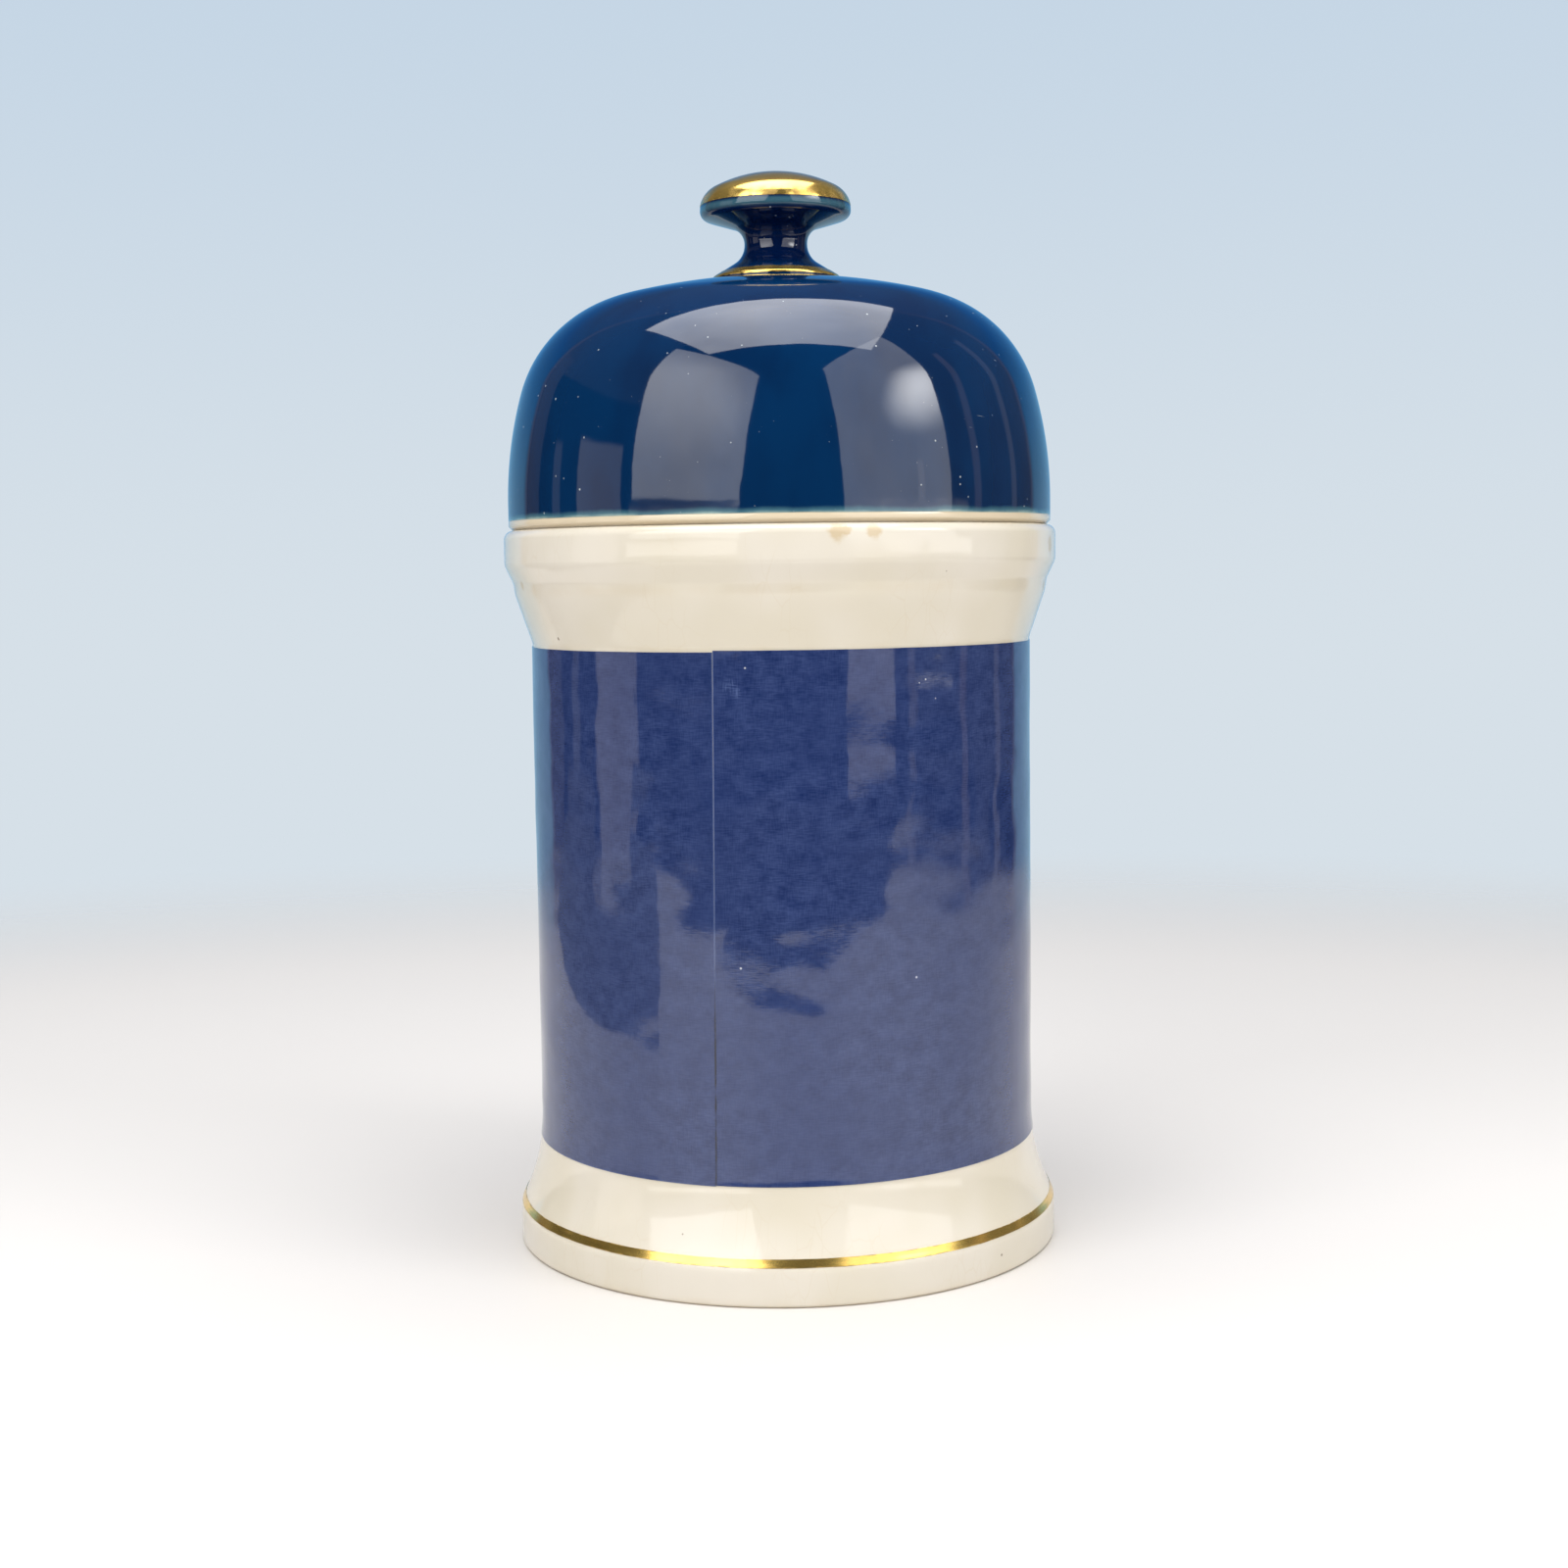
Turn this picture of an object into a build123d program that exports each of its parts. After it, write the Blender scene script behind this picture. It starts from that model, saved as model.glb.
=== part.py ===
from build123d import *
import os
from math import cos, sin, tan, radians

# A lidded apothecary jar in cream earthenware, turned about the Z axis.
# The jar is slip-cast and carries a printed colour wrap and a gilt foot line.
# The lid is a blue-glazed dome with a locating flange inside the mouth,
# and a gilt-topped mushroom knob luted on its crown.
# Millimetres, +Z up, origin at the centre of the face the foot stands on.
# The front of the jar faces -Y.

# Jar body, outside
body_radius = 50.0
foot_growth = 4.8            # how far the foot stands out past the body
foot_band_height = 7.0       # upright band below the flare
flare_top = 27.0             # height where the body starts to flare to the foot
collar_base = 121.0          # height where the body opens into the collar
cone_rise = 9.6
cone_growth = 3.2
neck_rise = 2.2
neck_growth = 0.3
step_rise = 3.6
step_growth = 1.7
band_rise = 6.9              # upright band of the collar, up to the rim

# Jar body, inside and underneath
wall = 4.5
rim_wall = 4.8
mouth_depth = 9.0            # straight bore that takes the lid's flange
cavity_flare_drop = 2.0      # the cavity opens this far below the collar
foot_recess = 3.0            # hollow under the foot
foot_ring_width = 7.0
floor_thickness = 5.0
floor_round = 8.0

# Lid
lid_inset = 1.0              # lid radius is this much less than the collar's
skirt_rise = 5.0             # upright edge of the dome
side_round = 80.0
side_sweep = 15.8            # degrees of the dome's side arc
shoulder_round = 26.7
shoulder_end = 76.0          # degrees from level where the crown arc takes over
lid_wall = 4.5
seat_chamfer = 0.8
glaze_thickness = 0.2
bare_edge_rise = 1.7         # wiped edge left cream below the blue glaze
flange_clearance = 0.8
flange_depth = 7.0
flange_wall = 3.5

# Knob
knob_height = 20.7           # from the crown to the top of the knob
knob_base_radius = 12.6
knob_base_edge = 0.9         # upright edge of the base above the lid's crown
knob_base_slope = 32.0       # degrees
knob_neck_radius = 6.25
knob_head_radius = 15.0
knob_cap_rise = 7.4          # from the widest line of the head to its top
knob_side_round = 5.0
knob_head_edge = 1.3
knob_head_slope = 17.0       # degrees under the head
neck_round_share = 0.48      # of the neck's length, for each of its two rounds

# Surface coats: the printed wrap and the fired-on gold
wrap_thickness = 0.12
wrap_flare_run = 5.6         # how far the wrap runs down onto the flare
wrap_high_gap = 0.4          # cream left between the wrap and the collar
wrap_seam_gap = 0.3
wrap_seam_turn = -14.4       # degrees round from the front, to the left
gilt_thickness = 0.08
foot_gilt_lift = 0.2         # the foot's gold starts this far above its band
foot_gilt_rise = 2.1
knob_gilt_drop = 0.1         # the cap's gold stops this far above the widest line
knob_line_reach = 1.7        # how far the base's gold runs in from its edge
knob_line_lift = 0.35        # the base's gold stops this far above the crown

# Rounded corners
foot_edge_round = 0.8
foot_corner_round = 3.0
collar_root_round = 2.0
cone_round = 6.0
neck_round = 2.5
band_round = 3.0
rim_round = 3.2
mouth_edge_round = 0.8
flange_edge_round = 1.0
knob_base_round = 0.5
knob_head_round = 1.6

# Places worked out from the sizes above
foot_radius = body_radius + foot_growth
cone_radius = body_radius + cone_growth
neck_radius = cone_radius + neck_growth
band_radius = neck_radius + step_growth
cone_top = collar_base + cone_rise
neck_top = cone_top + neck_rise
band_base = neck_top + step_rise
rim_top = band_base + band_rise
inner_radius = body_radius - wall
mouth_radius = band_radius - rim_wall
mouth_base = rim_top - mouth_depth
cavity_flare_base = collar_base - cavity_flare_drop
foot_ring_inner = foot_radius - foot_ring_width
floor_top = foot_recess + floor_thickness

lid_radius = band_radius - lid_inset
seat = rim_top
skirt_top = seat + skirt_rise
glaze_edge = seat + bare_edge_rise
flange_radius = mouth_radius - flange_clearance
flange_inner = flange_radius - flange_wall
flange_base = seat - flange_depth

overrun = 1.0                # how far a cutting shape runs past what it cuts
clear_radius = 2 * band_radius  # beyond every part of the jar


def turned(section, degrees=360):
    """The solid that a section, drawn as radius and height, makes about Z."""
    return revolve(Plane.XZ * section, Axis.Z, degrees)


def outline(*points):
    """A closed section through points given as radius and height."""
    return make_face(Polyline(*points, close=True))


def rounded(section, radius, *points):
    """The section with the corners nearest to the points rounded."""
    corners = [section.vertices().sort_by_distance(point)[0] for point in points]
    return fillet(corners, radius)


def coat(section, thickness, low, high, inner=0.0, outer=clear_radius):
    """A thin coat on a section's outside, between two heights and two radii."""
    window = outline((inner, low), (outer, low), (outer, high), (inner, high))
    return (offset(section, thickness) - section) & window


def dome_points(depth):
    """Ends and middles of the dome's three arcs, this far inside its surface."""
    side_centre = Vector(lid_radius - side_round, skirt_top)
    turn = Vector(cos(radians(side_sweep)), sin(radians(side_sweep)))
    shoulder_centre = side_centre + turn * (side_round - shoulder_round)
    end = Vector(cos(radians(shoulder_end)), sin(radians(shoulder_end)))
    crown_round = shoulder_centre.X / end.X + shoulder_round
    crown_centre = Vector(0, shoulder_centre.Y - shoulder_centre.X * end.Y / end.X)

    def on_arc(centre, radius, angle):
        along = Vector(cos(radians(angle)), sin(radians(angle)))
        return centre + along * (radius - depth)

    side = [on_arc(side_centre, side_round, a) for a in (0, side_sweep / 2, side_sweep)]
    middle = (side_sweep + shoulder_end) / 2
    shoulder = [on_arc(shoulder_centre, shoulder_round, a) for a in (middle, shoulder_end)]
    crown = [on_arc(crown_centre, crown_round, a) for a in ((90 + shoulder_end) / 2, 90)]
    return side + shoulder + crown


def dome(depth, base=None):
    """A filled dome section, this far inside the surface, from a base below the arcs."""
    start, side, side_end, shoulder, shoulder_stop, crown, top = dome_points(depth)
    edges = [
        Line((0, skirt_top), start),
        ThreePointArc(start, side, side_end),
        ThreePointArc(side_end, shoulder, shoulder_stop),
        ThreePointArc(shoulder_stop, crown, top),
        Line(top, (0, skirt_top)),
    ]
    section = make_face(edges)
    if base is not None:
        section += outline((0, base), (start.X, base), start, (0, skirt_top))
    return section


def lid_drop(radius):
    """How far the lid's crown has fallen from its top at a radius."""
    shoulder_stop = dome_points(0)[4]
    crown_round = shoulder_stop.X / cos(radians(shoulder_end))
    return crown_round - (crown_round**2 - radius**2) ** 0.5


crown_top = dome_points(0)[-1].Y
knob_top = crown_top + knob_height
knob_widest = knob_top - knob_cap_rise


def jar_outline():
    """The jar's outside, filled, before the cavity and foot recess are cut."""
    foot_corner = (foot_radius, foot_band_height)
    flare_start = (body_radius, flare_top)
    edges = [
        Line((0, 0), (foot_radius, 0)),
        Line((foot_radius, 0), foot_corner),
        TangentArc(flare_start, foot_corner, tangent=(0, -1)),
        Polyline(
            flare_start,
            (body_radius, collar_base),
            (cone_radius, cone_top),
            (neck_radius, neck_top),
            (band_radius, band_base),
            (band_radius, rim_top),
            (0, rim_top),
            (0, 0),
        ),
    ]
    section = make_face(edges)
    section = rounded(section, foot_edge_round, (foot_radius, 0))
    section = rounded(section, foot_corner_round, foot_corner)
    section = rounded(section, collar_root_round, (body_radius, collar_base))
    section = rounded(section, cone_round, (cone_radius, cone_top))
    section = rounded(section, neck_round, (neck_radius, neck_top))
    section = rounded(section, band_round, (band_radius, band_base))
    return rounded(section, rim_round, (band_radius, rim_top))


def jar_cavity():
    """The space inside the jar, run past the rim."""
    section = outline(
        (0, floor_top),
        (inner_radius, floor_top),
        (inner_radius, cavity_flare_base),
        (mouth_radius, mouth_base),
        (mouth_radius, rim_top + overrun),
        (0, rim_top + overrun),
    )
    return rounded(section, floor_round, (inner_radius, floor_top))


def jar_body():
    """The slip-cast jar: foot ring, walls, collar and mouth."""
    recess = outline(
        (0, -overrun),
        (foot_ring_inner, -overrun),
        (foot_ring_inner, foot_recess),
        (0, foot_recess),
    )
    section = jar_outline() - jar_cavity() - recess
    section = rounded(section, mouth_edge_round, (mouth_radius, rim_top))
    section = rounded(section, foot_edge_round, (foot_ring_inner, 0))
    return turned(section)


def wrap_transfer():
    """The printed wrap, its two ends a hair apart at the seam."""
    low = flare_top - wrap_flare_run
    section = coat(jar_outline(), wrap_thickness, low, collar_base - wrap_high_gap)
    gap_turn = wrap_seam_gap / (body_radius * radians(1))
    front = -90
    seam = front + wrap_seam_turn
    return Rot(Z=seam + gap_turn / 2) * turned(section, 360 - gap_turn)


def foot_gilt_line():
    """Gold banded over the corner between the flare and the foot."""
    low = foot_band_height + foot_gilt_lift
    return turned(coat(jar_outline(), gilt_thickness, low, low + foot_gilt_rise))


def lid_shell():
    """The lid's clay: domed wall, bare lower edge, flat seat and locating flange."""
    edge = outline(
        (0, seat),
        (lid_radius - seat_chamfer, seat),
        (lid_radius, seat + seat_chamfer),
        (lid_radius, glaze_edge),
        (0, glaze_edge),
    )
    flange = outline(
        (0, flange_base),
        (flange_radius, flange_base),
        (flange_radius, seat),
        (0, seat),
    )
    flange = rounded(flange, flange_edge_round, (flange_radius, flange_base))
    throat = outline(
        (0, flange_base - overrun),
        (flange_inner, flange_base - overrun),
        (flange_inner, seat),
        (lid_radius - lid_wall, skirt_top),
        (0, skirt_top),
    )
    section = dome(glaze_thickness, glaze_edge) + edge + flange
    section = section - throat - dome(lid_wall)
    return turned(section)


def lid_glaze():
    """The coloured glaze coat, from the bare edge up to the foot of the knob."""
    section = dome(0, glaze_edge) - dome(glaze_thickness, glaze_edge)
    core = outline(
        (0, glaze_edge),
        (knob_base_radius, glaze_edge),
        (knob_base_radius, crown_top + overrun),
        (0, crown_top + overrun),
    )
    return turned(section - core)


def knob_outline():
    """The knob's section, run down past the lid's crown, before it is cut to sit there."""
    edge_top = crown_top - lid_drop(knob_base_radius) + knob_base_edge
    neck_low = edge_top + (knob_base_radius - knob_neck_radius) * tan(radians(knob_base_slope))
    head_low = knob_widest - knob_head_edge
    neck_high = head_low - (knob_head_radius - knob_neck_radius) * tan(radians(knob_head_slope))

    # The cap's arc is centred on the axis and meets the side arc smoothly.
    side_centre = Vector(knob_head_radius - knob_side_round, knob_widest)
    cap_round = (side_centre.X**2 + knob_cap_rise**2 - knob_side_round**2) / (
        2 * (knob_cap_rise - knob_side_round)
    )
    cap_centre = Vector(0, knob_top - cap_round)
    along = (side_centre - cap_centre).normalized()
    side_end = cap_centre + along * cap_round
    across = (along + Vector(0, 1)).normalized()
    edges = [
        Polyline(
            (0, seat),
            (knob_base_radius, seat),
            (knob_base_radius, edge_top),
            (knob_neck_radius, neck_low),
            (knob_neck_radius, neck_high),
            (knob_head_radius, head_low),
            (knob_head_radius, knob_widest),
        ),
        TangentArc((knob_head_radius, knob_widest), side_end, tangent=(0, 1)),
        ThreePointArc(side_end, cap_centre + across * cap_round, (0, knob_top)),
        Line((0, knob_top), (0, seat)),
    ]
    section = make_face(edges)

    # The neck's two rounds share its length and leave a short straight between them.
    round_length = neck_round_share * (neck_high - neck_low)
    low_round = round_length / tan(radians(90 - knob_base_slope) / 2)
    high_round = round_length / tan(radians(90 - knob_head_slope) / 2)
    section = rounded(section, low_round, (knob_neck_radius, neck_low))
    section = rounded(section, high_round, (knob_neck_radius, neck_high))
    section = rounded(section, knob_base_round, (knob_base_radius, edge_top))
    return rounded(section, knob_head_round, (knob_head_radius, head_low))


def lid_knob():
    """The mushroom knob, seated on the crown."""
    return turned(knob_outline() - dome(glaze_thickness, seat))


def knob_gilt_cap():
    """Gold over the top of the knob's head."""
    low = knob_widest + knob_gilt_drop
    return turned(coat(knob_outline(), gilt_thickness, low, knob_top + overrun))


def knob_gilt_line():
    """Gold round the edge of the knob's base."""
    low = crown_top - lid_drop(knob_base_radius) + knob_line_lift
    middle = (crown_top + knob_widest) / 2
    inner = knob_base_radius - knob_line_reach
    outer = knob_base_radius + overrun
    return turned(coat(knob_outline(), gilt_thickness, low, middle, inner, outer))


pieces = {
    "jar_body": jar_body,
    "wrap_transfer": wrap_transfer,
    "foot_gilt_line": foot_gilt_line,
    "lid_shell": lid_shell,
    "lid_glaze": lid_glaze,
    "lid_knob": lid_knob,
    "knob_gilt_cap": knob_gilt_cap,
    "knob_gilt_line": knob_gilt_line,
}

os.makedirs("parts", exist_ok=True)
for name, make in pieces.items():
    export_step(make(), f"parts/{name}.step")
print("jar height", round(knob_top, 2), "mm, rim at", round(rim_top, 2))
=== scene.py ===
from math import acos, asin, atan2, ceil, cos, degrees, pi, radians, sin, tan

import bpy
from mathutils import Matrix, Vector


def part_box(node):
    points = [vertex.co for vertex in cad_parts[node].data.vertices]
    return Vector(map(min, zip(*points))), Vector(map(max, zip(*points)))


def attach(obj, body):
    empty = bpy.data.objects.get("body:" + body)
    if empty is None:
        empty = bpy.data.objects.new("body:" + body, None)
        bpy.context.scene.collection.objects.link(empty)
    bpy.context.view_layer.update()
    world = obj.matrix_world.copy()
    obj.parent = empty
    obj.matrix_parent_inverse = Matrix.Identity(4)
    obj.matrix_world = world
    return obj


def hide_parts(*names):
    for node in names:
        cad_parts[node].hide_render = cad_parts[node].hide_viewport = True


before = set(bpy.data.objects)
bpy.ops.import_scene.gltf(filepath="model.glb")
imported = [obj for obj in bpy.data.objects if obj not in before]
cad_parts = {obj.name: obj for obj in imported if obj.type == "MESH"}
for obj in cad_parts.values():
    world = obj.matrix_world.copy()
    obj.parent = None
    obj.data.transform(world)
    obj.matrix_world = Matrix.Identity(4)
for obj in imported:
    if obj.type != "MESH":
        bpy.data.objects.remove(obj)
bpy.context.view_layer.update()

mm = 0.001


class Value:
    # one output socket; arithmetic on it adds Math nodes to its tree
    def __init__(self, nodes, socket):
        self.nodes = nodes
        self.socket = socket

    def other(self, name):
        return Value(self.nodes, self.socket.node.outputs[name])

    def math(self, operation, *others):
        return self.nodes.maths(operation, self, *others)

    def __add__(self, other):
        return self.math("ADD", other)

    def __mul__(self, other):
        return self.math("MULTIPLY", other)

    def __sub__(self, other):
        return self.math("SUBTRACT", other)

    def __truediv__(self, other):
        return self.math("DIVIDE", other)

    def __rsub__(self, other):
        return self.nodes.maths("SUBTRACT", other, self)

    def __rtruediv__(self, other):
        return self.nodes.maths("DIVIDE", other, self)

    __radd__ = __add__
    __rmul__ = __mul__


class Nodes:
    def __init__(self, tree):
        self.tree = tree
        tree.nodes.clear()

    def add(self, kind, sockets=None, **settings):
        # sockets are inputs by name or number, each a constant or a Value
        node = self.tree.nodes.new(kind)
        for name, setting in settings.items():
            if name == "stops":
                self.setStops(node.color_ramp, setting)
            else:
                setattr(node, name, setting)
        for key, value in (sockets or {}).items():
            socket = self.inputOf(node, key)
            if isinstance(value, Value):
                self.tree.links.new(value.socket, socket)
            else:
                socket.default_value = value
        shown = [socket for socket in node.outputs if socket.enabled]
        return Value(self, shown[0]) if shown else None

    def inputOf(self, node, key):
        if isinstance(key, int):
            return node.inputs[key]
        return next(s for s in node.inputs if s.name == key and s.enabled)

    def setStops(self, ramp, stops):
        while len(ramp.elements) < len(stops):
            ramp.elements.new(1.0)
        for element, (place, tone) in zip(ramp.elements, stops):
            element.position = place
            element.color = tone

    def maths(self, operation, *values):
        return self.add("ShaderNodeMath", dict(enumerate(values)), operation=operation)

    def vectorMaths(self, operation, *values):
        return self.add("ShaderNodeVectorMath", dict(enumerate(values)), operation=operation)

    def scaled(self, vector, factor):
        return self.add("ShaderNodeVectorMath", {0: vector, "Scale": factor}, operation="SCALE")

    def vector(self, x, y, z):
        return self.add("ShaderNodeCombineXYZ", {0: x, 1: y, 2: z})

    def split(self, vector):
        # the vector's X, whose other("Y") and other("Z") are the rest
        return self.add("ShaderNodeSeparateXYZ", {0: vector})

    def attribute(self, name):
        return self.add("ShaderNodeAttribute", attribute_name=name).other("Fac")

    def smooth(self, value, low, high):
        # 0 at low, 1 at high, with soft ends
        ends = {"Value": value, "From Min": low, "From Max": high}
        return self.add("ShaderNodeMapRange", ends, interpolation_type="SMOOTHSTEP")

    def window(self, value, low, high, softLow, softHigh):
        # 1 from low to high, fading out over a little at each end
        opening = self.smooth(value, low - softLow, low + softLow)
        return opening * self.smooth(value, high + softHigh, high - softHigh)

    def bands(self, height, levels):
        # a soft band about each (level, half width)
        total = 0.0
        for level, reach in levels:
            total = self.smooth((height - level).math("ABSOLUTE"), reach, 0.0) + total
        return total

    def mix(self, factor, first, second):
        return self.add("ShaderNodeMix", {"Factor": factor, "A": first, "B": second}, data_type="RGBA")

    def cloud(self, place, size, seed=0.0, detail=2.0):
        # noise from 0 to 1 whose lumps are size across, or (x, y, z) across
        across = size if isinstance(size, tuple) else (size, size, size)
        shrunk = self.vectorMaths("MULTIPLY", place, tuple(1 / (s * mm) for s in across))
        return self.noise(shrunk, seed, detail)

    def noise(self, place, seed, detail):
        sockets = {"Vector": place, "W": seed, "Scale": 1.0, "Detail": detail}
        return self.add("ShaderNodeTexNoise", sockets, noise_dimensions="4D")

    def specks(self, place, spacing, radius, share, seed=0.0):
        # round specks of mixed sizes in a share of the cells of a scattered grid
        shrunk = self.vectorMaths("MULTIPLY", place, (1 / (spacing * mm),) * 3)
        sockets = {"Vector": shrunk, "W": seed, "Scale": 1.0}
        cells = self.add("ShaderNodeTexVoronoi", sockets, voronoi_dimensions="4D")
        chance = self.split(cells.other("Color"))
        size = chance.other("Y") * 0.6 + 0.5
        near = self.smooth(cells.other("Distance") * spacing / size, radius, radius * 0.5)
        return near * chance.math("LESS_THAN", share)

    def marks(self, place, spots):
        # one soft round mark for each (angle, height, distance from the axis, size)
        total = 0.0
        for angle, height, outward, size in spots:
            turn = radians(angle)
            centre = Vector((outward * sin(turn), -outward * cos(turn), height)) * mm
            away = self.vectorMaths("DISTANCE", place, tuple(centre))
            total = self.smooth(away, size * mm, size * mm * 0.4) + total
        return total.math("MINIMUM", 1.0)


def colour(red, green, blue):
    # a screen colour, 0 to 255, as the linear colour that nodes take
    def linear(level):
        share = level / 255
        return share / 12.92 if share <= 0.04045 else ((share + 0.055) / 1.055) ** 2.4
    return (linear(red), linear(green), linear(blue), 1.0)


# Outlines are radius and height in millimetres, kept as complex numbers.

def arcPoints(centre, radius, start, end, step):
    # start, end and step in degrees
    count = max(2, ceil(abs(end - start) / step))
    angles = [radians(start + (end - start) * i / count) for i in range(count + 1)]
    return [centre + radius * complex(cos(a), sin(a)) for a in angles]


def cornerArc(before, corner, after, radius, step=8.0):
    toBefore = (before - corner) / abs(before - corner)
    toAfter = (after - corner) / abs(after - corner)
    opening = acos(max(-1.0, min(1.0, (toBefore * toAfter.conjugate()).real)))
    middle = (toBefore + toAfter) / abs(toBefore + toAfter)
    centre = corner + middle * radius / sin(opening / 2)
    run = radius / tan(opening / 2)
    first = corner + toBefore * run - centre
    turn = corner + toAfter * run - centre
    sweep = atan2((turn / first).imag, (turn / first).real)
    count = max(2, ceil(abs(sweep) / radians(step)))
    steps = [complex(cos(sweep * i / count), sin(sweep * i / count)) for i in range(count + 1)]
    return [centre + first * s for s in steps]


def outline(corners, longest=1.5):
    # corners are (radius, height) or (radius, height, round); long runs are divided
    spots = [(complex(c[0], c[1]), c[2] if len(c) > 2 else 0.0) for c in corners]
    path = []
    for i, (spot, rounding) in enumerate(spots):
        if rounding:
            path += cornerArc(spots[i - 1][0], spot, spots[i + 1][0], rounding)
        else:
            path.append(spot)
    return divided(path, longest)


def divided(path, longest):
    points = [path[0]]
    for start, end in zip(path, path[1:]):
        count = max(1, ceil(abs(end - start) / longest))
        points += [start + (end - start) * i / count for i in range(1, count + 1)]
    return points


def stretch(path, low, high, longest):
    # the part of an upward path between two heights
    def at(height):
        for start, end in zip(path, path[1:]):
            if start.imag <= height <= end.imag and end.imag > start.imag:
                return start + (end - start) * (height - start.imag) / (end.imag - start.imag)
        return path[-1]
    inside = [p for p in path if low < p.imag < high]
    return divided([at(low), *inside, at(high)], longest)


def asCorner(point):
    return (point.real, point.imag)


# A node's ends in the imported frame, in millimetres.

def lowest(node, axis=2):
    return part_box(node)[0][axis] / mm


def highest(node, axis=2):
    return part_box(node)[1][axis] / mm


# The turning tree sweeps a profile about the axis, with its waviness and its seam.

turnedInputs = [
    "Round Steps", "Seam Turn", "Seam Drift", "Gap Low", "Gap High", "Edge Room", "Skew",
    "Edge Wander", "Edge Waves", "Unevenness", "Uneven Size", "Wavy From", "Wavy To", "Calm Share",
    "Lift", "Seed", "Finish",
]
inputKinds = {"Round Steps": "Int", "Finish": "Material"}  # the others are Float

turning = {
    "rowsApart": 7.0,  # how unlike each other the wander of two edges is
    "wavyFade": 12 * mm,  # height over which the waviness comes and goes
    "groundFade": 4 * mm,  # calm height above the table
    "weld": 2e-6,
    "sharpAngle": 50,
}


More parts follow.
